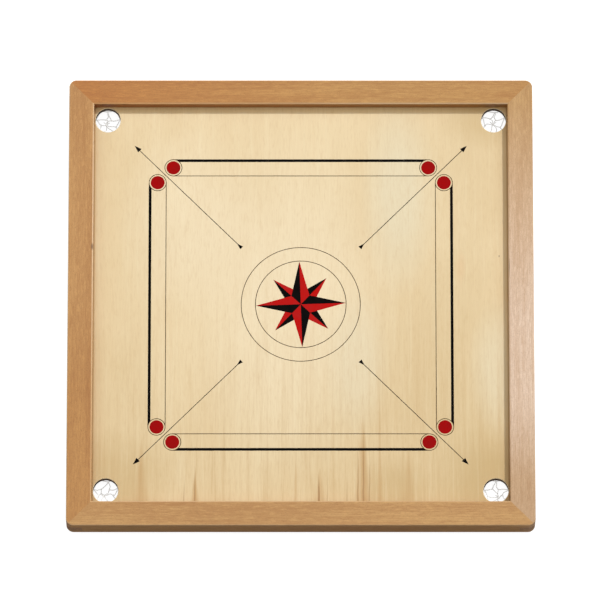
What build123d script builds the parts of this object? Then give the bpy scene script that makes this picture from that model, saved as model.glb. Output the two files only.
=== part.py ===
"""Carrom board: mitred beech rails round a plywood playing panel with four netted corner pockets.

Millimetres. +Z is up, -Y is the front. The origin is the middle of the board, on the surface it stands on.
"""

from build123d import *
from math import sqrt
import os

# ---------------------------------------------------------------- driving dimensions
# Frame and panel. The recess is the drop from the top of the rails to the playing surface.
playing_square = 740.0
rail_width = 45.0
rail_height = 45.0
recess_depth = 20.0
panel_thickness = 12.0
rebate_width = 15.0
corner_radius = 13.0
inner_edge_radius = 3.0
outer_edge_radius = 1.8
bottom_chamfer = 1.0

# Corner keys: the leg is how far a key reaches along each outer face from the square corner.
key_leg = 28.0
key_height = 18.0
key_rise = 11.0

# Rubber feet, each with a bore and a wider recess for its screw.
foot_height = 12.0
foot_top_radius = 10.0
foot_bottom_radius = 9.0
foot_bore_radius = 2.2
foot_recess_radius = 4.6
foot_recess_depth = 5.0
foot_edge_radius = 0.8
foot_x = 340.0

# Pockets: the inset is from the rails' inner faces to a pocket's centre.
pocket_radius = 22.25
pocket_inset = 24.5
pocket_edge_radius = 1.2

# Nets: a bag of cord hemmed round a wire hoop, nearly reaching the surface that the board stands on.
hoop_radius = 28.0
hoop_wire_radius = 1.2
net_cord = 1.5
net_floor_height = 2.2
net_floor_radius = 27.0
net_turn_radius = 10.0

# Staples per hoop. The bite is how deep their legs go into the panel.
staple_count = 6
staple_wire_radius = 0.5
staple_bend_radius = 1.1
staple_bite = 8.0

batten_width = 40.0
batten_thickness = 12.0
batten_chamfer = 1.5

# Screws, and where they stand along the panel's edges and the battens.
wood_screw_radius = 1.75
wood_screw_head_radius = 3.5
wood_screw_tip = 4.0
panel_screw_length = 24.0
panel_screw_stations = (-270.0, -90.0, 90.0, 270.0)
batten_screw_length = 20.0
batten_screw_stations = (-300.0, -110.0, 110.0, 300.0)
foot_screw_radius = 2.0
foot_screw_tip = 4.0
foot_screw_length = 21.0
foot_screw_head_radius = 4.0
foot_screw_head_height = 2.4
cross_length = 3.6
cross_width = 0.8
cross_depth = 1.3

# Printed markings on the playing surface, in plan.
ink_thickness = 0.1
fine_line = 1.2
base_line_width = 5.0
base_circle_radius = 15.9
base_spot_radius = 12.5
base_circle_near = 228.0
base_circle_far = 256.0
arrow_start = 149.2
arrow_end = 420.7
arrow_head_length = 13.0
arrow_head_width = 8.8
arrow_tail_length = 9.5
arrow_tail_width = 7.2
outer_circle_radius = 106.7
inner_circle_radius = 81.4
star_turn = 1.9
star_long_tip = 80.1
star_long_valley = 22.8
star_short_tip = 67.0
star_short_valley = 21.5

# ---------------------------------------------------------------- heights and sizes that follow
rail_bottom = foot_height
rail_top = rail_bottom + rail_height
surface_z = rail_top - recess_depth
panel_bottom = surface_z - panel_thickness
outer_size = playing_square + 2 * rail_width
panel_size = playing_square + 2 * rebate_width
rebate_height = surface_z - rail_bottom
key_bottom = rail_bottom + key_rise
batten_bottom = panel_bottom - batten_thickness
foot_y = outer_size / 2 - (rail_width - rebate_width) / 2
panel_screw_line = (playing_square + rebate_width) / 2
pocket_centre = playing_square / 2 - pocket_inset
hem_radius = hoop_wire_radius + net_cord
hem_z = panel_bottom - hem_radius
staple_width = 2 * (hem_radius + staple_wire_radius)
staple_z = hem_z - hem_radius - staple_wire_radius
staple_leg = panel_bottom + staple_bite - staple_z

corners = {
    "front_left": (-1, -1),
    "front_right": (1, -1),
    "back_right": (1, 1),
    "back_left": (-1, 1),
}
underside = Plane(origin=(0, 0, 0), x_dir=(1, 0, 0), z_dir=(0, 0, -1))
foot_points = [(sx * foot_x, sy * foot_y) for sx, sy in corners.values()]
pocket_points = {name: (sx * pocket_centre, sy * pocket_centre) for name, (sx, sy) in corners.items()}
panel_screw_points = [(s * panel_screw_line, t) for s in (-1, 1) for t in panel_screw_stations]
panel_screw_points += [(t, s * panel_screw_line) for s in (-1, 1) for t in panel_screw_stations]
batten_screw_points = [(0, 0)]
batten_screw_points += [(0, t) for t in batten_screw_stations]
batten_screw_points += [(t, 0) for t in batten_screw_stations]

os.makedirs("parts", exist_ok=True)


def save(piece, name):
    """Label a finished piece and write its STEP file."""
    piece.label = name
    export_step(piece, f"parts/{name}.step")


# ---------------------------------------------------------------- screws
def countersunk_screw(length):
    """A countersunk wood screw pointing up, its flat head in the XY plane, with a cross recess."""
    head_height = wood_screw_head_radius - wood_screw_radius
    with BuildPart() as screw:
        with BuildSketch(Plane.XZ):
            with BuildLine():
                Polyline(
                    (0, 0),
                    (wood_screw_head_radius, 0),
                    (wood_screw_radius, head_height),
                    (wood_screw_radius, length - wood_screw_tip),
                    (0, length),
                    close=True,
                )
            make_face()
        revolve(axis=Axis.Z)
        with BuildSketch(Plane.XY):
            Rectangle(cross_length, cross_width)
            Rectangle(cross_width, cross_length)
        extrude(amount=cross_depth, mode=Mode.SUBTRACT)
    return screw.part


panel_screw = countersunk_screw(panel_screw_length)
batten_screw = countersunk_screw(batten_screw_length)

with BuildPart() as pan_screw:
    with BuildSketch(Plane.XZ):
        with BuildLine():
            Polyline(
                (0, -foot_screw_head_height),
                (foot_screw_head_radius, -foot_screw_head_height),
                (foot_screw_head_radius, 0),
                (foot_screw_radius, 0),
                (foot_screw_radius, foot_screw_length - foot_screw_tip),
                (0, foot_screw_length),
                close=True,
            )
        make_face()
    revolve(axis=Axis.Z)
    fillet(pan_screw.edges().group_by(Axis.Z)[0], foot_screw_head_height / 2)
    with BuildSketch(Plane.XY.offset(-foot_screw_head_height)):
        Rectangle(cross_length, cross_width)
        Rectangle(cross_width, cross_length)
    extrude(amount=cross_depth, mode=Mode.SUBTRACT)

with BuildPart() as panel_screws:
    with Locations(*[(x, y, panel_bottom) for x, y in panel_screw_points]):
        add(panel_screw)
save(panel_screws.part, "panel_screws")

with BuildPart() as batten_screws:
    with Locations(*[(x, y, batten_bottom) for x, y in batten_screw_points]):
        add(batten_screw)
save(batten_screws.part, "batten_screws")

with BuildPart() as foot_screws:
    with Locations(*[(x, y, foot_recess_depth) for x, y in foot_points]):
        add(pan_screw.part)
save(foot_screws.part, "foot_screws")

# ---------------------------------------------------------------- corner keys
# A key is a triangle of wood in a slot across the mitre, trimmed to the rounded corner.
with BuildPart() as key_ring:
    with BuildSketch(Plane.XY.offset(key_bottom)):
        RectangleRounded(outer_size, outer_size, corner_radius)
        diamond = (outer_size - key_leg) * sqrt(2)
        Rectangle(diamond, diamond, rotation=45, mode=Mode.SUBTRACT)
    extrude(amount=key_height)

for name, (sx, sy) in corners.items():
    with BuildPart() as corner_key:
        add(key_ring.part)
        with BuildSketch(Plane.XY.offset(key_bottom)):
            with Locations((sx * outer_size / 2, sy * outer_size / 2)):
                Rectangle(outer_size, outer_size)
        extrude(amount=key_height, mode=Mode.INTERSECT)
    save(corner_key.part, f"corner_key_{name}")

# ---------------------------------------------------------------- rails
# The four rails are cut at the mitres from one square ring that has the rebate, key slots and screw holes.
def is_inner(edge):
    """True for the straight edges of the ring's square hole."""
    return abs(edge.length - playing_square) < 1


def is_outer(edge):
    """True for the horizontal edges round the outside of the ring."""
    return not is_inner(edge) and edge.bounding_box().size.Z < 1


with BuildPart() as frame_ring:
    with BuildSketch(Plane.XY.offset(rail_bottom)):
        RectangleRounded(outer_size, outer_size, corner_radius)
        Rectangle(playing_square, playing_square, mode=Mode.SUBTRACT)
    extrude(amount=rail_height)
    fillet(frame_ring.edges().filter_by(is_outer).group_by(Axis.Z)[-1], outer_edge_radius)
    chamfer(frame_ring.edges().filter_by(is_outer).group_by(Axis.Z)[0], bottom_chamfer)
    fillet(frame_ring.edges().filter_by(is_inner).group_by(Axis.Z)[-1], inner_edge_radius)
    with BuildSketch(Plane.XY.offset(rail_bottom)):
        Rectangle(panel_size, panel_size)
    extrude(amount=rebate_height, mode=Mode.SUBTRACT)
    add(key_ring.part, mode=Mode.SUBTRACT)
    with BuildSketch(Plane.XY.offset(surface_z)):
        with Locations(*panel_screw_points):
            Circle(wood_screw_radius)
    extrude(amount=panel_screw_length - panel_thickness, mode=Mode.SUBTRACT)
    with BuildSketch(Plane.XY.offset(rail_bottom)):
        with Locations(*foot_points):
            Circle(foot_screw_radius)
    extrude(amount=foot_screw_length + foot_recess_depth - foot_height, mode=Mode.SUBTRACT)

for name, turn in {"front": 0, "right": 90, "back": 180, "left": 270}.items():
    with BuildPart() as rail:
        add(frame_ring.part)
        with BuildSketch(Plane.XY.offset(rail_bottom).rotated((0, 0, turn))):
            with BuildLine():
                Polyline((0, 0), (-outer_size, -outer_size), (outer_size, -outer_size), close=True)
            make_face()
        extrude(amount=rail_height, mode=Mode.INTERSECT)
    save(rail.part, f"{name}_rail")

# ---------------------------------------------------------------- staples
# Each staple straddles the hem of a net and bites up into the panel.
with BuildPart() as staple:
    with BuildLine(Plane.XZ) as staple_path:
        FilletPolyline(
            (-staple_width / 2, staple_leg),
            (-staple_width / 2, 0),
            (staple_width / 2, 0),
            (staple_width / 2, staple_leg),
            radius=staple_bend_radius,
        )
    with BuildSketch(staple_path.line ^ 0):
        Circle(staple_wire_radius)
    sweep()

with BuildPart() as net_staples:
    for x, y in pocket_points.values():
        with Locations((x, y, staple_z)):
            with PolarLocations(hoop_radius, staple_count):
                add(staple.part)
save(net_staples.part, "net_staples")

# ---------------------------------------------------------------- nets and their hoops
for name, (x, y) in pocket_points.items():
    section = Plane(origin=(x, y, 0), x_dir=(1, 0, 0), z_dir=(0, -1, 0))
    pocket_axis = Axis((x, y, 0), (0, 0, 1))

    with BuildPart() as net_hoop:
        with BuildSketch(section):
            with Locations((hoop_radius, hem_z)):
                Circle(hoop_wire_radius)
        revolve(axis=pocket_axis)
    save(net_hoop.part, f"net_hoop_{name}")

    with BuildPart() as net:
        with BuildSketch(section):
            with BuildLine():
                FilletPolyline(
                    (hoop_radius, hem_z),
                    (net_floor_radius, net_floor_height),
                    (0, net_floor_height),
                    radius=net_turn_radius,
                )
            trace(line_width=net_cord)
            with Locations((hoop_radius, hem_z)):
                Circle(hem_radius)
                Circle(hoop_wire_radius, mode=Mode.SUBTRACT)
        revolve(axis=pocket_axis)
        add(net_staples.part, mode=Mode.SUBTRACT)
    save(net.part, f"net_{name}")

# ---------------------------------------------------------------- playing panel
with BuildPart() as playing_panel:
    with BuildSketch(Plane.XY.offset(panel_bottom)):
        Rectangle(panel_size, panel_size)
        with Locations(*pocket_points.values()):
            Circle(pocket_radius, mode=Mode.SUBTRACT)
    extrude(amount=panel_thickness)
    pocket_rims = playing_panel.edges().filter_by(GeomType.CIRCLE).group_by(Axis.Z)[-1]
    fillet(pocket_rims, pocket_edge_radius)
    with Locations(underside.offset(-panel_bottom)):
        with Locations(*panel_screw_points):
            CounterSinkHole(wood_screw_radius, wood_screw_head_radius, counter_sink_angle=90)
        with Locations(*batten_screw_points):
            Hole(wood_screw_radius, depth=batten_screw_length - batten_thickness)
    add(net_staples.part, mode=Mode.SUBTRACT)
save(playing_panel.part, "playing_panel")

# ---------------------------------------------------------------- battens
# The two battens cross in a half lap under the middle of the panel.
lap_z = batten_bottom + batten_thickness / 2
centre_lines = {
    "batten_long": [(0, t) for t in batten_screw_stations],
    "batten_cross": [(t, 0) for t in batten_screw_stations],
}
for name, size, lap_from in (
    ("batten_long", (batten_width, panel_size), lap_z),
    ("batten_cross", (panel_size, batten_width), batten_bottom),
):
    with BuildPart() as batten:
        with BuildSketch(Plane.XY.offset(batten_bottom)):
            Rectangle(*size)
        extrude(amount=batten_thickness)
        bottom_edges = batten.edges().group_by(Axis.Z)[0]
        chamfer(bottom_edges.sort_by(Edge.length)[-2:], batten_chamfer)
        with BuildSketch(Plane.XY.offset(lap_from)):
            Rectangle(batten_width, batten_width)
        extrude(amount=batten_thickness / 2, mode=Mode.SUBTRACT)
        with Locations(underside.offset(-batten_bottom)):
            with Locations((0, 0), *centre_lines[name]):
                CounterSinkHole(wood_screw_radius, wood_screw_head_radius, counter_sink_angle=90)
    save(batten.part, name)

# ---------------------------------------------------------------- rubber feet
for name, (sx, sy) in corners.items():
    with BuildPart() as foot:
        with BuildSketch(Plane(origin=(sx * foot_x, sy * foot_y, 0), x_dir=(1, 0, 0), z_dir=(0, -1, 0))):
            with BuildLine():
                Polyline(
                    (0, 0),
                    (foot_bottom_radius, 0),
                    (foot_top_radius, foot_height),
                    (0, foot_height),
                    close=True,
                )
            make_face()
        revolve(axis=Axis((sx * foot_x, sy * foot_y, 0), (0, 0, 1)))
        fillet(foot.edges().group_by(Axis.Z)[0], foot_edge_radius)
        with Locations(underside):
            with Locations((sx * foot_x, -sy * foot_y)):
                CounterBoreHole(foot_bore_radius, foot_recess_radius, foot_recess_depth)
    save(foot.part, f"foot_{name}")

# ---------------------------------------------------------------- printed markings
# Each colour and kind of marking is a thin film of ink on the playing surface.
ink_plane = Plane.XY.offset(surface_z)
base_circle_points = [
    (sx * a, sy * b)
    for sx, sy in corners.values()
    for a, b in ((base_circle_near, base_circle_far), (base_circle_far, base_circle_near))
]
thick_line_offset = base_circle_far + base_circle_radius - base_line_width / 2
thin_line_offset = base_circle_far - base_circle_radius + fine_line / 2

with BuildPart() as ink_base_lines:
    with BuildSketch(ink_plane):
        for turn in (0, 90, 180, 270):
            with Locations(Location((0, 0, 0), (0, 0, turn))):
                with Locations((0, thick_line_offset)):
                    Rectangle(2 * base_circle_near, base_line_width)
        with Locations(*base_circle_points):
            Circle(base_circle_radius, mode=Mode.SUBTRACT)
    extrude(amount=ink_thickness)
save(ink_base_lines.part, "ink_base_lines")

with BuildPart() as ink_fine_lines:
    with BuildSketch(ink_plane):
        for turn in (0, 90, 180, 270):
            with Locations(Location((0, 0, 0), (0, 0, turn))):
                with Locations((0, thin_line_offset)):
                    Rectangle(2 * base_circle_near, fine_line)
        with Locations(*base_circle_points):
            Circle(base_circle_radius, mode=Mode.SUBTRACT)
    extrude(amount=ink_thickness)
save(ink_fine_lines.part, "ink_fine_lines")

with BuildPart() as ink_circle_outlines:
    with BuildSketch(ink_plane):
        with Locations(*base_circle_points):
            Circle(base_circle_radius)
            Circle(base_circle_radius - fine_line, mode=Mode.SUBTRACT)
    extrude(amount=ink_thickness)
save(ink_circle_outlines.part, "ink_circle_outlines")

with BuildPart() as ink_red_spots:
    with BuildSketch(ink_plane):
        with Locations(*base_circle_points):
            Circle(base_spot_radius)
    extrude(amount=ink_thickness)
save(ink_red_spots.part, "ink_red_spots")

with BuildPart() as ink_centre_circles:
    with BuildSketch(ink_plane):
        Circle(outer_circle_radius)
        Circle(outer_circle_radius - fine_line, mode=Mode.SUBTRACT)
        Circle(inner_circle_radius)
        Circle(inner_circle_radius - fine_line, mode=Mode.SUBTRACT)
    extrude(amount=ink_thickness)
save(ink_centre_circles.part, "ink_centre_circles")

with BuildPart() as ink_arrows:
    with BuildSketch(ink_plane) as arrow_sketch:
        for turn in (45, 135, 225, 315):
            with BuildLine(Plane.XY.rotated((0, 0, turn))):
                head = arrow_end - arrow_head_length
                tail = arrow_start + arrow_tail_length
                Polyline(
                    (arrow_start, -arrow_tail_width / 2),
                    (tail, -fine_line / 2),
                    (head, -fine_line / 2),
                    (head, -arrow_head_width / 2),
                    (arrow_end, 0),
                    (head, arrow_head_width / 2),
                    (head, fine_line / 2),
                    (tail, fine_line / 2),
                    (arrow_start, arrow_tail_width / 2),
                    close=True,
                )
            make_face()
    extrude(amount=ink_thickness)
save(ink_arrows.part, "ink_arrows")


# A star of four long points lies over a star of four short ones. Every point is split down its middle:
# the half on the counter-clockwise side of the tip is black, the other half is red.
def polar(radius, angle):
    """A point on the playing surface, with the angle counted from the star's own axis."""
    return Vector(radius, 0).rotate(Axis.Z, angle + star_turn)


quarter_turns = (0, 90, 180, 270)
long_star_outline = []
for turn in quarter_turns:
    long_star_outline.append(polar(star_long_tip, turn))
    long_star_outline.append(polar(star_long_valley, turn + 45))

for name, side in (("ink_star_black", 1), ("ink_star_red", -1)):
    with BuildPart() as star_half:
        with BuildSketch(ink_plane):
            for turn in quarter_turns:
                with BuildLine():
                    tip = polar(star_short_tip, turn + 45)
                    Polyline((0, 0), tip, polar(star_short_valley, turn + 45 + 45 * side), close=True)
                make_face()
            with BuildLine():
                Polyline(*long_star_outline, close=True)
            make_face(mode=Mode.SUBTRACT)
            for turn in quarter_turns:
                with BuildLine():
                    tip = polar(star_long_tip, turn)
                    Polyline((0, 0), tip, polar(star_long_valley, turn + 45 * side), close=True)
                make_face()
        extrude(amount=ink_thickness)
    save(star_half.part, name)
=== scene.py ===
"""Looks for the carrom board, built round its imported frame.

Everything is in metres in the board's own frame: +Z up, -Y the front, and the surface it stands on at Z = 0.
The CAD nodes keep their shape and get their woods, inks, metals and rubber here. The four plain net bags
are replaced by nets of two-ply twine, knotted strand by strand.
"""

import math
import random

import bpy
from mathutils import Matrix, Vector


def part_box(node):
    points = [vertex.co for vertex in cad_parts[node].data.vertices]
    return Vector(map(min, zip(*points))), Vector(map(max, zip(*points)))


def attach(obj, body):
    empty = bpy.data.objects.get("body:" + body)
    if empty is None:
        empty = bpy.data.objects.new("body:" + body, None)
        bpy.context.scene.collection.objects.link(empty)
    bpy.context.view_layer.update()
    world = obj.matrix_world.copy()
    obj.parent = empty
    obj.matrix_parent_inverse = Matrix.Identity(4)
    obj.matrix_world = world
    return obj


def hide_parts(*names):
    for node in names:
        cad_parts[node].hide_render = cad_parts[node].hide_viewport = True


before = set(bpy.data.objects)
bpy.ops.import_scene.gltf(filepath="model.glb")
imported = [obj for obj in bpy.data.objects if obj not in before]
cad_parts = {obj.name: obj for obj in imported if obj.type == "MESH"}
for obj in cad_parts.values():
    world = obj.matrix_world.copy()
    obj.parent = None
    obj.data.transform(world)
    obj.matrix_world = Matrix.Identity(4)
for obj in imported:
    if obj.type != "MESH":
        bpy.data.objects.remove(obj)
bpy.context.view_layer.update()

MM = 0.001
CORNERS = ("front_left", "front_right", "back_right", "back_left")

panel_low, panel_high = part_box("playing_panel")
SURFACE_Z = panel_high.z
PANEL_BOTTOM = panel_low.z
RAIL_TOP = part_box("front_rail")[1].z
FRONT_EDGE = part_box("front_rail")[1].y
BACK_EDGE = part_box("back_rail")[0].y
LEFT_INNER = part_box("left_rail")[1].x
RIGHT_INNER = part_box("right_rail")[0].x


# ---------------------------------------------------------------- node-tree helpers
def new_material(name):
    """An empty node material with a Principled shader on its output. Returns the material and the shader."""
    material = bpy.data.materials.new(name)
    material.use_nodes = True
    tree = material.node_tree
    tree.nodes.clear()
    output = tree.nodes.new("ShaderNodeOutputMaterial")
    shader = tree.nodes.new("ShaderNodeBsdfPrincipled")
    tree.links.new(shader.outputs[0], output.inputs[0])
    return material, shader


def add(tree, kind, sockets=None, **settings):
    """Adds a shader node. sockets gives values or links by input name or number."""
    made = tree.nodes.new("ShaderNode" + kind)
    for key, value in settings.items():
        setattr(made, key, value)
    for key, value in (sockets or {}).items():
        if isinstance(value, bpy.types.NodeSocket):
            tree.links.new(value, made.inputs[key])
        else:
            made.inputs[key].default_value = value
    return made


def place(tree, shift=(0, 0, 0), turn=0.0):
    """Object coordinates in metres, turned about Z and then shifted."""
    coordinates = add(tree, "TexCoord").outputs["Object"]
    turned = add(tree, "Mapping", {"Vector": coordinates, "Rotation": (0, 0, turn)}).outputs[0]
    return add(tree, "Mapping", {"Vector": turned, "Location": shift}).outputs[0]


def scaled(tree, vector, x, y, z):
    """A vector scaled along each axis, which squeezes the texture that reads it."""
    return add(tree, "Mapping", {"Vector": vector, "Scale": (x, y, z)}).outputs[0]


def noise(tree, vector, scale=1.0, detail=3.0, roughness=0.5, distortion=0.0):
    """The grey value of a noise texture."""
    sockets = {
        "Vector": vector,
        "Scale": scale,
        "Detail": detail,
        "Roughness": roughness,
        "Distortion": distortion,
    }
    return add(tree, "TexNoise", sockets).outputs["Fac"]


def cells(tree, vector, scale=1.0):
    """The distance to the nearest point of a Voronoi texture."""
    return add(tree, "TexVoronoi", {"Vector": vector, "Scale": scale}).outputs["Distance"]


def calc(tree, operation, a, b=0.0):
    """One Math node."""
    return add(tree, "Math", {0: a, 1: b}, operation=operation).outputs[0]


def product(tree, a, b):
    """One value times another."""
    return calc(tree, "MULTIPLY", a, b)


def length(tree, a, b):
    """The length of the vector (a, b)."""
    return calc(tree, "SQRT", calc(tree, "ADD", product(tree, a, a), product(tree, b, b)))


def wander_by(tree, vector, scale, reach):
    """A slow noise of two octaves, centred on zero and reach from end to end."""
    return product(tree, calc(tree, "SUBTRACT", noise(tree, vector, scale, 2.0), 0.5), reach)


def remap(tree, value, low, high, to_low=0.0, to_high=1.0):
    """A clamped linear change of range."""
    sockets = {"Value": value, "From Min": low, "From Max": high, "To Min": to_low, "To Max": to_high}
    return add(tree, "MapRange", sockets).outputs[0]


def blend(tree, factor, a, b, mode="MIX"):
    """Mixes colour b into colour a."""
    made = add(tree, "Mix", data_type="RGBA", blend_type=mode)
    for index, value in ((0, factor), (6, a), (7, b)):
        if isinstance(value, bpy.types.NodeSocket):
            tree.links.new(value, made.inputs[index])
        elif index:
            made.inputs[index].default_value = (*value, 1.0)
        else:
            made.inputs[index].default_value = value
    return made.outputs[2]


def axis_value(tree, vector, axis):
    """One component of a vector."""
    return add(tree, "SeparateXYZ", {0: vector}).outputs[axis]


def bump(tree, shader, height, distance, strength=1.0):
    """Drives the shader's normal from a height in 0..1 that stands for distance metres."""
    made = add(tree, "Bump", {"Height": height, "Distance": distance, "Strength": strength})
    tree.links.new(made.outputs["Normal"], shader.inputs["Normal"])


def srgb(red, green, blue):
    """A display colour from 0 to 255 as the linear colour that shaders use."""
    values = []
    for channel in (red, green, blue):
        value = channel / 255
        values.append(value / 12.92 if value <= 0.04045 else ((value + 0.055) / 1.055) ** 2.4)
    return tuple(values)


def dimmed(colour, factors):
    """A colour with each channel multiplied by its own factor."""
    return tuple(channel * factor for channel, factor in zip(colour, factors))


def link(tree, value, shader, name):
    """Feeds a varying value to one of the shader's sockets."""
    tree.links.new(value, shader.inputs[name])


def dress(node_name, material):
    """Gives a CAD node its finished material."""
    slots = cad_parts[node_name].data.materials
    slots.clear()
    slots.append(material)


# ---------------------------------------------------------------- woods
FACE_PALE = (244, 223, 181)
FACE_WARM = (219, 192, 141)
SIDE_SHADE = (0.94, 0.87, 0.79)
INWARD_SHADE = (0.90, 0.78, 0.62)
EDGE_HIGHLIGHT_TONE = (238, 208, 168)
BEECH_RING = 3.4 * MM
PINE_RING = 4.6 * MM
KEY_RING = 2.4 * MM
PLY_COUNT = 9
PORE_SCALE = (1100.0, 34.0, 34.0)


def growth_rings(tree, grain, spacing, pith, wander):
    """0 to 1 across each growth ring, round a pith line that wanders slowly along the grain."""
    along = axis_value(tree, grain, "X")
    across = axis_value(tree, grain, "Y")
    height = axis_value(tree, grain, "Z")
    sway = wander_by(tree, scaled(tree, grain, 1.6, 9.0, 9.0), 1.0, wander)
    tilt = product(tree, along, 0.02)
    side = calc(tree, "ADD", calc(tree, "SUBTRACT", across, pith[0]), calc(tree, "ADD", sway, tilt))
    depth = calc(tree, "ADD", calc(tree, "SUBTRACT", height, pith[1]), sway)
    radius = length(tree, side, depth)
    uneven = product(tree, noise(tree, scaled(tree, grain, 2.0, 34.0, 34.0), 1.0, 1.0), spacing * 1.5)
    return calc(tree, "FRACT", calc(tree, "DIVIDE", calc(tree, "ADD", radius, uneven), spacing))


def mark(tree, across, along, place_x, place_y, half_width, half_length):
    """0 to 1 inside a small soft-edged ellipse, such as a pin knot."""
    x = calc(tree, "DIVIDE", calc(tree, "SUBTRACT", across, place_x), half_width)
    y = calc(tree, "DIVIDE", calc(tree, "SUBTRACT", along, place_y), half_length)
    return remap(tree, length(tree, x, y), 1.0, 0.35)


def beech(name, along_y, pale, deep, shift, pith, streaky, edge_highlight_strength, fades=(), flaws=()):
    """Varnished beech: fine straight grain, faint rings, soft dashes and the small dark flecks of its rays.

    shift picks the part of the pattern, and pith is the rings' centre across the rail and in height.
    streaky is how strong the streaks and rings are; the argument after it sets how strong the painted
    highlight on the rounded edges is.
    fades tint the rail towards an end: the end's sign, where the tint starts, where it is full, and the
    tint. flaws are small dark knots and splits: x, y, half width and half length in metres.
    """
    material, shader = new_material(name)
    tree = material.node_tree
    grain = place(tree, shift=shift, turn=math.radians(-90 if along_y else 0))

    late_wood = remap(tree, growth_rings(tree, grain, BEECH_RING, pith, 16 * MM), 0.55, 0.97)
    drift = noise(tree, scaled(tree, grain, 2.2, 26.0, 26.0), 1.0, 4.0, 0.55, 0.4)
    fibre = noise(tree, scaled(tree, grain, 28.0, 900.0, 900.0), 1.0, 3.0, 0.6)
    streak = noise(tree, scaled(tree, grain, 5.0, 150.0, 150.0), 1.0, 4.0, 0.6, 0.3)
    rays = remap(tree, cells(tree, scaled(tree, grain, 240.0, 1050.0, 1050.0)), 0.36, 0.16)
    dashes = noise(tree, scaled(tree, grain, 75.0, 430.0, 430.0), 1.0, 2.0, 0.5)

    rich = dimmed(deep, (0.84, 0.75, 0.64))
    brown = dimmed(deep, (0.55, 0.47, 0.40))
    bright = tuple(min(channel * 1.12, 1.0) for channel in pale)
    colour = blend(tree, remap(tree, drift, 0.34, 0.66), pale, deep)
    colour = blend(tree, remap(tree, streak, 0.44, 0.72, 0.0, streaky), colour, rich)
    colour = blend(tree, product(tree, late_wood, 0.5 * streaky), colour, rich)
    colour = blend(tree, remap(tree, fibre, 0.35, 0.75, 0.0, 0.32), colour, rich)
    colour = blend(tree, remap(tree, dashes, 0.54, 0.72, 0.0, 0.55), colour, rich)
    colour = blend(tree, remap(tree, dashes, 0.46, 0.28, 0.0, 0.45), colour, bright)
    colour = blend(tree, product(tree, rays, 0.50), colour, brown)

    # Painted highlight: the rounded edges are coloured paler, as if catching the light.
    normal = add(tree, "TexCoord").outputs["Normal"]
    upright = calc(tree, "ABSOLUTE", axis_value(tree, normal, "Z"))
    rounded = product(tree, remap(tree, upright, 0.12, 0.40), remap(tree, upright, 0.995, 0.92))
    painted_edge_light = product(tree, rounded, remap(tree, drift, 0.35, 0.60, 0.6 * edge_highlight_strength, edge_highlight_strength))
    colour = blend(tree, painted_edge_light, colour, srgb(*EDGE_HIGHLIGHT_TONE))
    # Painted shade: the upright faces are coloured darker than the tops.
    on_side = remap(tree, upright, 0.30, 0.10)
    colour = blend(tree, on_side, colour, SIDE_SHADE, "MULTIPLY")

    # Painted shade: the faces that look in at the panel are coloured darker and browner.
    spot = place(tree)
    across_axis, along_axis = ("X", "Y") if along_y else ("Y", "X")
    from_middle = calc(tree, "ABSOLUTE", axis_value(tree, spot, across_axis))
    inward = product(tree, on_side, calc(tree, "LESS_THAN", from_middle, RIGHT_INNER + 4 * MM))
    colour = blend(tree, inward, colour, INWARD_SHADE, "MULTIPLY")

    for end, start, full, tint in fades:
        toward_end = product(tree, axis_value(tree, spot, along_axis), end)
        colour = blend(tree, remap(tree, toward_end, start, full), colour, tint, "MULTIPLY")
    for flaw in flaws:
        inside = mark(tree, axis_value(tree, spot, "X"), axis_value(tree, spot, "Y"), *flaw)
        colour = blend(tree, product(tree, inside, 0.75), colour, dimmed(brown, (0.5, 0.5, 0.5)))
    link(tree, colour, shader, "Base Color")

    link(tree, remap(tree, fibre, 0.3, 0.8, 0.42, 0.58), shader, "Roughness")
    shader.inputs["Coat Weight"].default_value = 0.12
    shader.inputs["Coat Roughness"].default_value = 0.3
    hollow = calc(tree, "SUBTRACT", fibre, product(tree, rays, 0.5))
    bump(tree, shader, hollow, 0.12 * MM, 0.5)
    return material


def end_grain(name, pale, deep):
    """The corner keys, seen on their cut ends: scattered pores over wavy rings, darker than the rails."""
    material, shader = new_material(name)
    tree = material.node_tree
    grain = place(tree, turn=math.radians(17))
    height = axis_value(tree, grain, "Z")
    sway = noise(tree, grain, 60.0, 2.0)
    waved = calc(tree, "ADD", height, product(tree, sway, 5 * MM))
    rings = calc(tree, "FRACT", product(tree, waved, 1 / KEY_RING))
    pores = remap(tree, cells(tree, grain, 1700.0), 0.45, 0.10)
    mottled = noise(tree, grain, 240.0, 4.0, 0.65)
    colour = blend(tree, remap(tree, mottled, 0.3, 0.7), pale, deep)
    dark = dimmed(deep, (0.5, 0.5, 0.5))
    colour = blend(tree, remap(tree, rings, 0.6, 0.95, 0.0, 0.4), colour, dark)
    colour = blend(tree, product(tree, pores, 0.55), colour, dark)
    link(tree, colour, shader, "Base Color")
    link(tree, remap(tree, mottled, 0.3, 0.7, 0.5, 0.7), shader, "Roughness")
    bump(tree, shader, calc(tree, "SUBTRACT", mottled, product(tree, pores, 0.5)), 0.15 * MM, 0.5)
    return material


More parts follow.
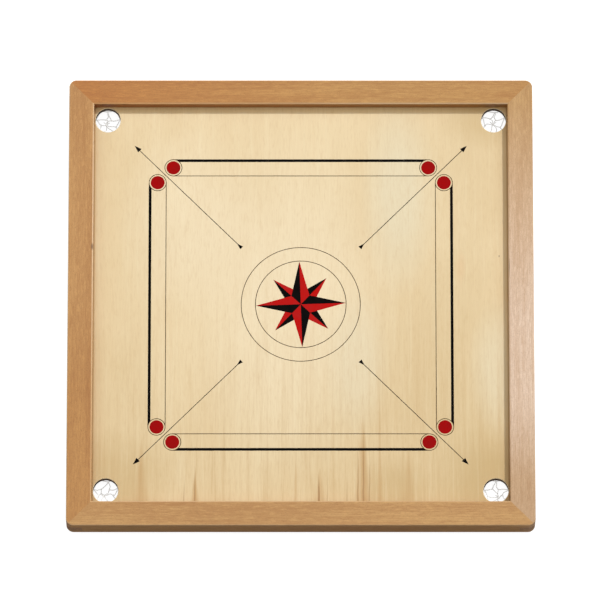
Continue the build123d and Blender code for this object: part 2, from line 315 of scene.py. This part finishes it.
# Mineral streaks that rise from the front edge of the face and taper to a point: x, half width at the front,
# how far each reaches back, and how strong it is.
OCHRE_STREAKS = [
    (110 * MM, 17 * MM, 175 * MM, 0.80),
    (34 * MM, 12 * MM, 70 * MM, 0.55),
    (-188 * MM, 8 * MM, 70 * MM, 0.85),
    (-283 * MM, 15 * MM, 130 * MM, 0.50),
    (140 * MM, 5 * MM, 240 * MM, 0.50),
    (190 * MM, 14 * MM, 120 * MM, 0.30),
    (-9 * MM, 5 * MM, 110 * MM, 0.40),
]
DARK_STREAKS = [
    (32 * MM, 2.6 * MM, 60 * MM, 0.85),
    (101 * MM, 1.8 * MM, 130 * MM, 0.55),
    (111 * MM, 2.2 * MM, 150 * MM, 0.60),
    (122 * MM, 1.5 * MM, 120 * MM, 0.50),
    (-188 * MM, 1.4 * MM, 84 * MM, 0.60),
    (-207 * MM, 1.2 * MM, 54 * MM, 0.50),
    (82 * MM, 1.0 * MM, 50 * MM, 0.40),
    (47 * MM, 0.9 * MM, 64 * MM, 0.35),
]


def tapering_streak(tree, across, along, x, half_width, reach):
    """0 to 1 inside a streak that starts at a point and widens to the front edge."""
    share = remap(tree, along, FRONT_EDGE + reach, FRONT_EDGE)
    spread = calc(tree, "ADD", product(tree, share, half_width), 0.3 * MM)
    offset = calc(tree, "ABSOLUTE", calc(tree, "SUBTRACT", across, x))
    body = remap(tree, calc(tree, "DIVIDE", offset, spread), 1.0, 0.25)
    return product(tree, body, remap(tree, share, 0.0, 0.5))


def veneer_figure(tree, grain):
    """The wide soft figure, fine pores and streaks of a rotary-cut face, as three values from 0 to 1."""
    figure = remap(tree, noise(tree, scaled(tree, grain, 16.0, 1.6, 9.0), 1.0, 5.0, 0.6, 0.7), 0.34, 0.66)
    pores = noise(tree, scaled(tree, grain, *PORE_SCALE), 1.0, 3.0, 0.65)
    streaks = noise(tree, scaled(tree, grain, 150.0, 4.5, 4.5), 1.0, 5.0, 0.62, 0.4)
    return figure, pores, streaks


FIGURE_TONE = srgb(222, 190, 138)
ROSY_TONE = srgb(232, 184, 132)
FLECK_TONE = srgb(204, 168, 112)
STREAK_TONE = srgb(205, 170, 116)
STREAK_PALE = srgb(250, 236, 200)
OCHRE_TONE = srgb(196, 152, 92)
DARK_STREAK_TONE = srgb(158, 112, 58)
PORE_TONE = srgb(200, 166, 112)
KNOT_TONE = srgb(120, 82, 60)
RIM_HIGHLIGHT_TONE = srgb(250, 238, 206)
PAINTED_WARM_SHADE = (1.0, 0.92, 0.74)
LEFT_SHADE = (0.88, 0.82, 0.74)
PAINTED_FOOT_SHADE = (0.66, 0.55, 0.40)

# Broad soft patches where the veneer runs paler, cooler or browner: x, y, half width and half length in mm,
# how strong it is, and its colour.
PALE_TONE = srgb(253, 238, 206)
COOL_TONE = srgb(238, 229, 199)
BROWN_TONE = srgb(198, 166, 106)
VENEER_PATCHES = [
    (-20, 0, 200, 330, 0.46, PALE_TONE),
    (-200, 150, 130, 190, 0.40, PALE_TONE),
    (175, 205, 70, 200, 0.60, COOL_TONE),
    (100, -110, 60, 150, 0.40, COOL_TONE),
    (355, -120, 60, 140, 0.50, COOL_TONE),
    (345, 345, 110, 60, 0.40, BROWN_TONE),
    (345, -330, 120, 110, 0.55, BROWN_TONE),
    (165, -345, 70, 70, 0.40, BROWN_TONE),
    (-340, -325, 120, 100, 0.40, BROWN_TONE),
]


def panel_face(tree, grain, figure, pores, streaks):
    """The lacquered top face: palest towards the back left, warmer and more streaked towards the front."""
    along = axis_value(tree, grain, "Y")
    across = calc(tree, "ADD", axis_value(tree, grain, "X"), wander_by(tree, grain, 14.0, 5 * MM))

    cloud = noise(tree, grain, 6.0, 4.0, 0.6)
    front_warmth = remap(tree, along, 0.02, -0.36, 0.0, 0.62)
    right_warmth = remap(tree, across, 0.02, 0.36, 0.0, 0.55)
    left_warmth = remap(tree, across, -0.20, -0.36, 0.0, 0.35)
    warmth = calc(tree, "ADD", calc(tree, "ADD", front_warmth, right_warmth), left_warmth)
    warmth = calc(tree, "ADD", warmth, remap(tree, cloud, 0.35, 0.65, -0.18, 0.18))
    face = blend(tree, remap(tree, warmth, 0.0, 1.3), srgb(*FACE_PALE), srgb(*FACE_WARM))
    face = blend(tree, product(tree, figure, 0.26), face, FIGURE_TONE)
    rosy_patch = mark(tree, across, along, 283 * MM, 69 * MM, 13 * MM, 34 * MM)
    face = blend(tree, product(tree, rosy_patch, 0.25), face, ROSY_TONE)
    for x, y, half_width, half_length, strength, tone in VENEER_PATCHES:
        patch = mark(tree, across, along, x * MM, y * MM, half_width * MM, half_length * MM)
        face = blend(tree, product(tree, patch, strength), face, tone)
    flecks = noise(tree, scaled(tree, grain, 330.0, 70.0, 70.0), 1.0, 2.0, 0.5)
    face = blend(tree, remap(tree, flecks, 0.50, 0.72, 0.0, 0.16), face, FLECK_TONE)

    towards_front = remap(tree, along, 0.05, FRONT_EDGE)
    streak_strength = remap(tree, towards_front, 0.0, 1.0, 0.06, 0.55)
    darker = product(tree, remap(tree, streaks, 0.50, 0.74), streak_strength)
    face = blend(tree, darker, face, STREAK_TONE)
    lighter = product(tree, remap(tree, streaks, 0.46, 0.30), 0.22)
    face = blend(tree, lighter, face, STREAK_PALE)
    for x, half_width, reach, strength in OCHRE_STREAKS:
        body = tapering_streak(tree, across, along, x, half_width, reach)
        broken = remap(tree, streaks, 0.30, 0.62, 0.45 * strength, strength)
        face = blend(tree, product(tree, body, broken), face, OCHRE_TONE)
    for x, half_width, reach, strength in DARK_STREAKS:
        body = tapering_streak(tree, across, along, x, half_width, reach)
        face = blend(tree, product(tree, body, strength), face, DARK_STREAK_TONE)
    pore_strength = remap(tree, towards_front, 0.0, 1.0, 0.18, 0.34)
    dark_pores = product(tree, remap(tree, pores, 0.42, 0.80), pore_strength)
    face = blend(tree, dark_pores, face, PORE_TONE)
    pin_knot = mark(tree, across, along, 353 * MM, 90 * MM, 1.5 * MM, 2.6 * MM)
    face = blend(tree, product(tree, pin_knot, 0.6), face, KNOT_TONE)
    return painted_margin_shade(tree, grain, face)


def painted_margin_shade(tree, grain, face):
    """Painted shade along the rails: a warm brown tint where the back and right rails cast shadows, a soft
    shade by the left one, and a dark line at the side rails' feet.
    """
    x = axis_value(tree, grain, "X")
    y = axis_value(tree, grain, "Y")
    waver = wander_by(tree, grain, 60.0, 4 * MM)
    to_right = calc(tree, "SUBTRACT", RIGHT_INNER, x)
    to_left = calc(tree, "SUBTRACT", x, LEFT_INNER)
    to_side = calc(tree, "MINIMUM", to_right, to_left)
    # Painted shade: a warm brown tint over the strips where the back and right rails cast their shadows.
    back_shade_strip = remap(tree, calc(tree, "ADD", calc(tree, "SUBTRACT", BACK_EDGE, y), waver), 13 * MM, 9 * MM)
    right_shade_strip = remap(tree, calc(tree, "ADD", to_right, waver), 10 * MM, 6 * MM, 0.0, 0.8)
    run = calc(tree, "MAXIMUM", back_shade_strip, right_shade_strip)
    face = blend(tree, run, face, PAINTED_WARM_SHADE, "MULTIPLY")
    face = blend(tree, remap(tree, to_left, 9 * MM, 1 * MM, 0.0, 0.7), face, LEFT_SHADE, "MULTIPLY")
    # Painted shade: a dark line along the feet of the side rails.
    return blend(tree, remap(tree, to_side, 3.0 * MM, 1.0 * MM), face, PAINTED_FOOT_SHADE, "MULTIPLY")


def pocket_wall(tree, grain, height):
    """The crossed plies that show round the pockets, long grain and darker end grain by turns, coloured
    darker than bare ply as painted shade inside the pockets.
    """
    ply = (SURFACE_Z - PANEL_BOTTOM) / PLY_COUNT
    layer = calc(tree, "DIVIDE", calc(tree, "SUBTRACT", height, PANEL_BOTTOM), ply)
    turn_about = calc(tree, "GREATER_THAN", calc(tree, "FRACT", product(tree, layer, 0.5)), 0.5)
    middle_of_ply = calc(tree, "ABSOLUTE", calc(tree, "SUBTRACT", calc(tree, "FRACT", layer), 0.5))
    glue = remap(tree, middle_of_ply, 0.40, 0.48)
    speckle = noise(tree, grain, 900.0, 3.0, 0.6)
    edge = blend(tree, turn_about, srgb(128, 98, 64), srgb(92, 66, 44))
    edge = blend(tree, remap(tree, speckle, 0.35, 0.7, 0.0, 0.5), edge, srgb(70, 50, 34))
    return blend(tree, product(tree, glue, 0.7), edge, srgb(50, 34, 24))


def playing_panel_material(name):
    """Pale plywood: a lacquered face on top, a plainer one below, and plies round the pockets."""
    material, shader = new_material(name)
    tree = material.node_tree
    grain = place(tree)
    figure, pores, streaks = veneer_figure(tree, grain)
    height = axis_value(tree, grain, "Z")

    face = panel_face(tree, grain, figure, pores, streaks)
    below_face = calc(tree, "LESS_THAN", height, SURFACE_Z - 1.0 * MM)
    colour = blend(tree, below_face, face, pocket_wall(tree, grain, height))
    # Painted highlight: the pockets' rounded rims are coloured paler, as if catching the light.
    lean = calc(tree, "ABSOLUTE", axis_value(tree, add(tree, "TexCoord").outputs["Normal"], "Z"))
    rim_highlight = product(tree, remap(tree, lean, 0.25, 0.5), remap(tree, lean, 0.99, 0.9))
    colour = blend(tree, product(tree, rim_highlight, 0.7), colour, RIM_HIGHLIGHT_TONE)

    # The underside is a plainer sheet, redder and without lacquer.
    back = blend(tree, figure, srgb(205, 170, 124), srgb(186, 146, 100))
    back = blend(tree, remap(tree, streaks, 0.45, 0.75, 0.0, 0.6), back, srgb(150, 110, 72))
    back = blend(tree, remap(tree, pores, 0.4, 0.8, 0.0, 0.45), back, srgb(120, 86, 58))
    at_back = calc(tree, "LESS_THAN", height, PANEL_BOTTOM + 0.05 * MM)
    link(tree, blend(tree, at_back, colour, back), shader, "Base Color")

    lacquered = remap(tree, pores, 0.3, 0.8, 0.32, 0.42)
    roughness = calc(tree, "MAXIMUM", lacquered, product(tree, below_face, 0.72))
    link(tree, roughness, shader, "Roughness")
    shader.inputs["Coat Weight"].default_value = 0.12
    shader.inputs["Coat Roughness"].default_value = 0.2
    bump(tree, shader, pores, 0.04 * MM, 0.35)
    return material


def batten_material(name, along_y):
    """Planed softwood: wide early wood, narrow dark late wood."""
    material, shader = new_material(name)
    tree = material.node_tree
    grain = place(tree, shift=(0.3, 0.01, 0.02), turn=math.radians(-90 if along_y else 0))
    rings = growth_rings(tree, grain, PINE_RING, (0.012, -0.05), 9 * MM)
    fibre = noise(tree, scaled(tree, grain, 22.0, 700.0, 700.0), 1.0, 3.0, 0.6)
    cloud = noise(tree, grain, 7.0, 3.0)
    colour = blend(tree, remap(tree, cloud, 0.3, 0.7), srgb(222, 190, 140), srgb(205, 165, 112))
    colour = blend(tree, remap(tree, rings, 0.50, 0.98, 0.0, 0.75), colour, srgb(158, 104, 56))
    colour = blend(tree, remap(tree, fibre, 0.4, 0.8, 0.0, 0.35), colour, srgb(150, 108, 66))
    link(tree, colour, shader, "Base Color")
    link(tree, remap(tree, fibre, 0.3, 0.8, 0.55, 0.75), shader, "Roughness")
    bump(tree, shader, fibre, 0.2 * MM, 0.5)
    return material


# ---------------------------------------------------------------- inks, metals, rubber, twine
PAINTED_TWINE_GLOW = 0.30


def ink(name, colour, worn):
    """Screen-printed ink, worn in soft clouds and along the pores of the face below it."""
    material, shader = new_material(name)
    tree = material.node_tree
    grain = place(tree)
    pores = noise(tree, scaled(tree, grain, *PORE_SCALE), 1.0, 3.0, 0.65)
    cloud = noise(tree, grain, 60.0, 4.0, 0.6)
    shade = blend(tree, remap(tree, cloud, 0.3, 0.7), colour, worn)
    shade = blend(tree, remap(tree, pores, 0.62, 0.86, 0.0, 0.35), shade, worn)
    link(tree, shade, shader, "Base Color")
    link(tree, remap(tree, cloud, 0.3, 0.7, 0.26, 0.36), shader, "Roughness")
    shader.inputs["Specular IOR Level"].default_value = 0.04
    bump(tree, shader, pores, 0.03 * MM, 0.35)
    return material


def metal(name, bright, dull, low_roughness, high_roughness):
    """Plated or drawn steel, cloudy and finely scratched."""
    material, shader = new_material(name)
    tree = material.node_tree
    grain = place(tree)
    cloud = noise(tree, grain, 500.0, 4.0, 0.6)
    scratches = noise(tree, scaled(tree, grain, 4000.0, 4000.0, 500.0), 1.0, 2.0)
    link(tree, blend(tree, remap(tree, cloud, 0.3, 0.7), bright, dull), shader, "Base Color")
    link(tree, remap(tree, cloud, 0.3, 0.7, low_roughness, high_roughness), shader, "Roughness")
    shader.inputs["Metallic"].default_value = 1.0
    bump(tree, shader, scratches, 0.02 * MM, 0.4)
    return material


def rubber(name):
    """Matt moulded rubber with a fine pebble and a little dust."""
    material, shader = new_material(name)
    tree = material.node_tree
    grain = place(tree)
    pebble = cells(tree, grain, 1500.0)
    dust = noise(tree, grain, 220.0, 4.0, 0.65)
    colour = blend(tree, remap(tree, dust, 0.45, 0.8), srgb(34, 33, 33), srgb(74, 71, 68))
    link(tree, colour, shader, "Base Color")
    link(tree, remap(tree, dust, 0.3, 0.7, 0.62, 0.82), shader, "Roughness")
    bump(tree, shader, pebble, 0.08 * MM, 0.5)
    return material


def nylon(name):
    """White nylon twine: fine filaments, slightly greyed, with a soft sheen.

    It also glows a little: painted light that lifts the twine out of the shade in the pockets.
    """
    material, shader = new_material(name)
    tree = material.node_tree
    grain = place(tree)
    filaments = noise(tree, grain, 3500.0, 2.0, 0.6)
    grey = noise(tree, grain, 160.0, 3.0, 0.6)
    colour = blend(tree, remap(tree, grey, 0.35, 0.7), srgb(250, 250, 248), srgb(232, 231, 228))
    colour = blend(tree, remap(tree, filaments, 0.45, 0.8, 0.0, 0.35), colour, srgb(206, 204, 200))
    link(tree, colour, shader, "Base Color")
    link(tree, remap(tree, filaments, 0.3, 0.7, 0.5, 0.7), shader, "Roughness")
    shader.inputs["Sheen Weight"].default_value = 0.3
    # Painted light: a faint glow on the twine.
    shader.inputs["Emission Color"].default_value = (1.0, 0.99, 0.97, 1.0)
    shader.inputs["Emission Strength"].default_value = PAINTED_TWINE_GLOW
    bump(tree, shader, filaments, 0.05 * MM, 0.5)
    return material


# ---------------------------------------------------------------- nets
STRAND_RADIUS = 0.8 * MM
MESHES_ROUND = 6
ROW_COUNT = 3
ROW_SHARE = 0.33
STRAND_VERTS = 10
TWIST_PITCH = 3.4 * MM
BAG_TURN = 10 * MM
UP = Vector((0, 0, 1))


def guide_for(direction):
    """An upright, or X where the direction itself is nearly upright."""
    return UP if abs(direction.z) < 0.9 else Vector((1, 0, 0))


def frames_along(points):
    """A tangent and two sideways directions at each point, which turn as little as possible along the way."""
    result = []
    sideways = None
    for index, point in enumerate(points):
        before = points[max(index - 1, 0)]
        after = points[min(index + 1, len(points) - 1)]
        tangent = (after - before).normalized()
        if sideways is None:
            sideways = tangent.cross(guide_for(tangent))
        sideways = (sideways - tangent * sideways.dot(tangent)).normalized()
        result.append((tangent, sideways, tangent.cross(sideways)))
    return result


class MeshData:
    """Vertices and faces gathered for one object."""

    def __init__(self):
        self.verts = []
        self.faces = []

    def tube(self, points, radius, verts_round, twist_pitch=None):
        """A closed tube. With a twist pitch its section is two plies that wind round each other."""
        start = len(self.verts)
        run = 0.0
        for index, (point, (_, side, up)) in enumerate(zip(points, frames_along(points))):
            if index:
                run += (point - points[index - 1]).length
            for step in range(verts_round):
                angle = 2 * math.pi * step / verts_round
                reach = radius
                if twist_pitch:
                    reach *= 0.70 + 0.30 * abs(math.cos(angle - math.pi * run / twist_pitch * 2))
                self.verts.append(point + (side * math.cos(angle) + up * math.sin(angle)) * reach)
        for ring in range(len(points) - 1):
            for step in range(verts_round):
                a = start + ring * verts_round + step
                b = start + ring * verts_round + (step + 1) % verts_round
                self.faces.append((a, b, b + verts_round, a + verts_round))
        last = start + (len(points) - 1) * verts_round
        self.faces.append(tuple(reversed(range(start, start + verts_round))))
        self.faces.append(tuple(range(last, last + verts_round)))

    def ring(self, centre, normal, major, minor, major_steps=20, minor_steps=8):
        """A closed loop of twine round a point."""
        start = len(self.verts)
        side = normal.cross(guide_for(normal)).normalized()
        up = normal.cross(side).normalized()
        for step in range(major_steps):
            angle = 2 * math.pi * step / major_steps
            outward = side * math.cos(angle) + up * math.sin(angle)
            for small in range(minor_steps):
                turn = 2 * math.pi * small / minor_steps
                self.verts.append(
                    centre + outward * (major + minor * math.cos(turn)) + normal * (minor * math.sin(turn))
                )
        for step in range(major_steps):
            for small in range(minor_steps):
                a = start + step * minor_steps + small
                b = start + step * minor_steps + (small + 1) % minor_steps
                c = start + (step + 1) % major_steps * minor_steps + (small + 1) % minor_steps
                d = start + (step + 1) % major_steps * minor_steps + small
                self.faces.append((a, d, c, b))

    def build(self, name, material):
        """The gathered mesh as a smooth-shaded object."""
        mesh = bpy.data.meshes.new(name)
        mesh.from_pydata(self.verts, [], self.faces)
        mesh.materials.append(material)
        mesh.polygons.foreach_set("use_smooth", [True] * len(mesh.polygons))
        mesh.update()
        made = bpy.data.objects.new(name, mesh)
        bpy.context.scene.collection.objects.link(made)
        return made


def bag_profile(share, hem_radius, hem_z, floor_radius, floor_z, turn_radius):
    """Radius and height at a share of the way down the bag's wall, round its turn and in to its middle."""
    wall = hem_z - floor_z - turn_radius
    bend = turn_radius * math.pi / 2
    floor_run = floor_radius - turn_radius
    run = share * (wall + bend + floor_run)
    if run < wall:
        return hem_radius + (floor_radius - hem_radius) * run / wall, hem_z - run
    if run < wall + bend:
        angle = (run - wall) / turn_radius
        radius = floor_radius - turn_radius + turn_radius * math.cos(angle)
        return radius, floor_z + turn_radius - turn_radius * math.sin(angle)
    return floor_radius - turn_radius - (run - wall - bend), floor_z


def slack_curve(start, end, pull, sway=Vector((0, 0, 0)), steps=36):
    """A strand from start to end that bows towards pull and snakes once to either side by sway."""
    points = []
    for step in range(steps + 1):
        share = step / steps
        bow = pull * (4 * share * (1 - share))
        points.append(start.lerp(end, share) + bow + sway * math.sin(2 * math.pi * share))
    return points


def knot(data, centre, across, outward):
    """A sheet bend: a small tight core with one strand wrapped twice round it."""
    core_radius = 0.9 * MM
    wrap_radius = 0.45 * MM
    wrap_reach = 0.95 * MM
    wrap_length = 1.6 * MM
    steps_per_turn = 14
    last_step = 2 * steps_per_turn
    core = [centre + across * (offset * MM) for offset in (-1.2, -0.7, 0.0, 0.7, 1.2)]
    data.tube(core, core_radius, 8)
    lift = across.cross(outward).normalized()
    wrap = []
    for step in range(last_step + 1):
        angle = 2 * math.pi * step / steps_per_turn
        along = across * ((step / last_step - 0.5) * wrap_length)
        wrap.append(centre + along + (outward * math.cos(angle) + lift * math.sin(angle)) * wrap_reach)
    data.tube(wrap, wrap_radius, 7)


def knotted_net(corner, material):
    """A diamond-mesh net hung from its hoop, slack at the bottom, where its last strands are tied."""
    chance = random.Random(f"net {corner}")
    hoop_low, hoop_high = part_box(f"net_hoop_{corner}")
    net_low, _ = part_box(f"net_{corner}")
    middle = (hoop_low + hoop_high) / 2
    wire = (hoop_high.z - hoop_low.z) / 2
    hoop_radius = (hoop_high.x - hoop_low.x) / 2 - wire
    floor_z = net_low.z + STRAND_RADIUS + 0.3 * MM
    data = MeshData()

    def on_bag(share, turn, loose):
        """A point on the bag, turn meshes round and a share of the way down, jittered by up to loose."""
        floor_radius = hoop_radius - 1 * MM
        radius, height = bag_profile(share, hoop_radius, middle.z, floor_radius, floor_z, BAG_TURN)
        radius += chance.uniform(-2.4, 0.4) * MM * loose
        angle = 2 * math.pi * turn / MESHES_ROUND + chance.uniform(-0.16, 0.16) * loose
        height = max(height + chance.uniform(-0.8, 2.6) * MM * loose, floor_z)
        return Vector((middle.x + radius * math.cos(angle), middle.y + radius * math.sin(angle), height))

    rows = []
    for row in range(ROW_COUNT):
        loose = 0.0 if row == 0 else 1.0
        offset = 0.5 * (row % 2)
        rows.append([on_bag(row * ROW_SHARE, column + offset, loose) for column in range(MESHES_ROUND)])

    # Each mesh hangs from the hoop by two loops of twine.
    for start in rows[0]:
        outward = (start - middle).normalized()
        tangent = outward.cross(UP)
        for shift in (-0.6, 0.6):
            data.ring(start + tangent * shift * MM, tangent, wire + STRAND_RADIUS, STRAND_RADIUS)

    # Each knot of the lower rows takes a strand from the two knots or loops above it.
    for row in range(1, ROW_COUNT):
        for column, end in enumerate(rows[row]):
            outward = Vector((end.x - middle.x, end.y - middle.y, 0)).normalized()
            across = outward.cross(UP)
            knot(data, end, across, outward)
            first = column if row % 2 else column - 1
            for above in (first, first + 1):
                start = rows[row - 1][above % MESHES_ROUND]
                if row == 1:
                    start = start - UP * (wire + STRAND_RADIUS)
                slack = row / (ROW_COUNT - 1)
                pull = outward * chance.uniform(-1.8, 0.4) * MM * slack
                pull += across * chance.uniform(-3.4, 3.4) * MM * slack
                pull += UP * (chance.uniform(-0.2, 1.4) * MM)
                sway = across * chance.uniform(-1.6, 1.6) * MM * slack
                data.tube(slack_curve(start, end, pull, sway), STRAND_RADIUS, STRAND_VERTS, TWIST_PITCH)

    # The last row's strands meet off the middle, where a thin cord ties them and two short tails stick out.
    aside = Vector((chance.uniform(-5, 5) * MM, chance.uniform(-5, 5) * MM, 0))
    gather = Vector((middle.x, middle.y, floor_z + 1.6 * MM)) + aside
    for end in rows[-1]:
        sideways = (gather - end).cross(UP).normalized()
        pull = sideways * chance.uniform(-3.5, 3.5) * MM + UP * (chance.uniform(0.0, 1.4) * MM)
        sway = sideways * chance.uniform(-1.2, 1.2) * MM
        data.tube(slack_curve(end, gather, pull, sway), STRAND_RADIUS, STRAND_VERTS, TWIST_PITCH)
    for turn in range(3):
        data.ring(gather + UP * ((turn - 0.6) * MM), UP, 1.6 * MM, 0.55 * MM)
    for angle in (0.6, 2.4):
        direction = Vector((math.cos(angle), math.sin(angle), 0.15))
        tail = slack_curve(gather, gather + direction * 7 * MM, UP * (1.2 * MM), steps=14)
        data.tube(tail, STRAND_RADIUS, STRAND_VERTS, TWIST_PITCH)

    net = data.build(f"knotted_net_{corner}", material)
    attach(net, "root")
    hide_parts(f"net_{corner}")


# ---------------------------------------------------------------- finishes on the CAD nodes
RAIL_FINISH = {
    "front_rail": dict(
        along_y=False,
        pale=(210, 165, 102),
        deep=(189, 139, 80),
        shift=(0.0, 0.0, 0.0),
        pith=(-0.47, -0.02),
        streaky=0.50,
        edge_highlight_strength=0.50,
    ),
    "back_rail": dict(
        along_y=False,
        pale=(206, 159, 90),
        deep=(186, 133, 68),
        shift=(1.7, 0.4, 0.2),
        pith=(0.19, 0.03),
        streaky=0.50,
        edge_highlight_strength=0.95,
        fades=[(-1, -0.15, 0.40, (0.93, 0.70, 0.44))],
    ),
    "left_rail": dict(
        along_y=True,
        pale=(207, 157, 94),
        deep=(186, 133, 73),
        shift=(3.1, 0.9, 0.5),
        pith=(0.47, 0.02),
        streaky=0.35,
        edge_highlight_strength=0.85,
        fades=[(-1, -0.02, 0.16, (0.90, 0.82, 0.66))],
        flaws=[(LEFT_INNER - 2 * MM, 102 * MM, 3 * MM, 8 * MM)],
    ),
    # The right rail's pale cream tone, darker towards both ends, is partly its wood and partly a painted
    # sheen of light on its varnish.
    "right_rail": dict(
        along_y=True,
        pale=(240, 216, 195),
        deep=(225, 196, 170),
        shift=(5.3, 1.3, 0.9),
        pith=(1.66, 0.85),
        streaky=0.72,
        edge_highlight_strength=0.30,
        fades=[(1, -0.02, 0.38, (0.72, 0.56, 0.28)), (-1, 0.17, 0.33, (0.73, 0.62, 0.455))],
        flaws=[(RIGHT_INNER + 1.5 * MM, 62 * MM, 0.9 * MM, 20 * MM)],
    ),
}
for rail_name, finish in RAIL_FINISH.items():
    finish["pale"] = srgb(*finish["pale"])
    finish["deep"] = srgb(*finish["deep"])
    dress(rail_name, beech(rail_name, **finish))

key_finish = end_grain("key_end_grain", srgb(196, 150, 108), srgb(160, 116, 80))
rubber_finish = rubber("foot_rubber")
hoop_finish = metal("galvanised_wire", (0.62, 0.62, 0.60), (0.40, 0.40, 0.39), 0.30, 0.48)
nylon_finish = nylon("nylon_twine")
for corner in CORNERS:
    dress(f"corner_key_{corner}", key_finish)
    dress(f"foot_{corner}", rubber_finish)
    dress(f"net_hoop_{corner}", hoop_finish)
    knotted_net(corner, nylon_finish)

dress("playing_panel", playing_panel_material("pale_plywood"))
dress("batten_long", batten_material("batten_long_wood", True))
dress("batten_cross", batten_material("batten_cross_wood", False))

zinc_finish = metal("zinc_plate", (0.74, 0.70, 0.58), (0.52, 0.49, 0.42), 0.24, 0.42)
for screws in ("panel_screws", "batten_screws", "foot_screws"):
    dress(screws, zinc_finish)
dress("net_staples", metal("staple_wire", (0.66, 0.66, 0.65), (0.42, 0.42, 0.41), 0.28, 0.45))

black_ink = ink("black_ink", srgb(4, 3, 3), srgb(12, 10, 9))
fine_ink = ink("fine_line_ink", srgb(44, 26, 10), srgb(82, 60, 32))
for printed in ("ink_base_lines", "ink_arrows", "ink_star_black"):
    dress(printed, black_ink)
for printed in ("ink_fine_lines", "ink_circle_outlines", "ink_centre_circles"):
    dress(printed, fine_ink)
dress("ink_red_spots", ink("red_ink", srgb(168, 6, 7), srgb(154, 11, 12)))
dress("ink_star_red", ink("star_red_ink", srgb(196, 14, 8), srgb(184, 30, 30)))


# ---------------------------------------------------------------- floor, light and camera
FLOOR_HALF = 60.0
FLOOR_GLOW = 0.90
CEILING_LEVEL = 1.12
HORIZON_LEVEL = 0.92
KEY_STRENGTH = 1.6
LEFT_BOX_WATTS = 12.0
RIGHT_BOX_WATTS = 10.0
SUN_TINT = (1.0, 0.975, 0.94)
SOFT_TINT = (1.0, 0.99, 0.97)


def pale_floor():
    """A wide pale sheet. It also glows, but only towards the camera, so that it shows white."""
    mesh = bpy.data.meshes.new("floor")
    corners = [(x * FLOOR_HALF, y * FLOOR_HALF, 0) for x, y in ((-1, -1), (1, -1), (1, 1), (-1, 1))]
    mesh.from_pydata(corners, [], [(0, 1, 2, 3)])
    floor = bpy.data.objects.new("floor", mesh)
    bpy.context.scene.collection.objects.link(floor)
    material, shader = new_material("floor_white")
    tree = material.node_tree
    cloud = noise(tree, place(tree), 2.0, 3.0)
    link(tree, blend(tree, cloud, (0.42, 0.42, 0.42), (0.44, 0.44, 0.44)), shader, "Base Color")
    shader.inputs["Roughness"].default_value = 0.9
    shader.inputs["Emission Color"].default_value = (1.0, 1.0, 1.0, 1.0)
    seen = add(tree, "LightPath").outputs["Is Camera Ray"]
    link(tree, product(tree, seen, FLOOR_GLOW), shader, "Emission Strength")
    mesh.materials.append(material)


def soft_world():
    """A soft ceiling of light, strongest straight overhead, with a white band along the horizon."""
    world = bpy.data.worlds.new("studio")
    bpy.context.scene.world = world
    world.use_nodes = True
    tree = world.node_tree
    background = tree.nodes["Background"]
    height = axis_value(tree, add(tree, "TexCoord").outputs["Generated"], "Z")
    horizon = remap(tree, height, 0.05, 0.14, HORIZON_LEVEL, 0.0)
    overhead = calc(tree, "POWER", calc(tree, "MAXIMUM", height, 0.0), 3.0)
    ceiling = remap(tree, overhead, 0.0, 1.0, 0.05, CEILING_LEVEL)
    level = calc(tree, "MAXIMUM", horizon, ceiling)
    tree.links.new(blend(tree, level, (0, 0, 0), SOFT_TINT), background.inputs["Color"])


def aim(thing, target):
    """Points a lamp or camera at a place."""
    thing.rotation_euler = (target - thing.location).to_track_quat("-Z", "Y").to_euler()


def lamp(kind, name, location, energy, colour, **settings):
    """A lamp aimed at the middle of the board."""
    data = bpy.data.lights.new(name, kind)
    data.energy = energy
    data.color = colour
    for key, value in settings.items():
        setattr(data, key, value)
    made = bpy.data.objects.new(name, data)
    bpy.context.scene.collection.objects.link(made)
    made.location = location
    aim(made, Vector((0, 0, RAIL_TOP)))


pale_floor()
soft_world()

KEY_AZIMUTH = math.radians(52.6)
KEY_ELEVATION = math.radians(50.5)
key_direction = Vector((
    math.cos(KEY_ELEVATION) * math.cos(KEY_AZIMUTH),
    math.cos(KEY_ELEVATION) * math.sin(KEY_AZIMUTH),
    math.sin(KEY_ELEVATION),
))
lamp("SUN", "key", key_direction * 4, KEY_STRENGTH, SUN_TINT, angle=math.radians(2.2))
left_panel = {"shape": "RECTANGLE", "size": 1.8, "size_y": 1.4}
right_panel = {"shape": "RECTANGLE", "size": 0.8, "size_y": 1.8}
lamp("AREA", "left_box", Vector((-2.2, 1.8, 1.7)), LEFT_BOX_WATTS, SOFT_TINT, **left_panel)
lamp("AREA", "right_box", Vector((2.3, 1.1, 2.1)), RIGHT_BOX_WATTS, SOFT_TINT, **right_panel)

# A far camera with a long lens, set a little off the vertical, stands in for the photo's corrected view.
CAMERA_DISTANCE = 15.8
CAMERA_TILT = math.radians(17.4)
CAMERA_LENS = 532.0
camera_data = bpy.data.cameras.new("camera")
camera_data.sensor_width = 36.0
camera_data.lens = CAMERA_LENS
camera_data.clip_end = 200.0
camera = bpy.data.objects.new("camera", camera_data)
bpy.context.scene.collection.objects.link(camera)
aim_at = Vector((-1.4 * MM, 8 * MM, SURFACE_Z))
camera_direction = Vector((0, -math.sin(CAMERA_TILT), math.cos(CAMERA_TILT)))
camera.location = aim_at + CAMERA_DISTANCE * camera_direction
aim(camera, aim_at)
bpy.context.scene.camera = camera

scene = bpy.context.scene
scene.view_settings.view_transform = "Standard"
scene.view_settings.look = "None"
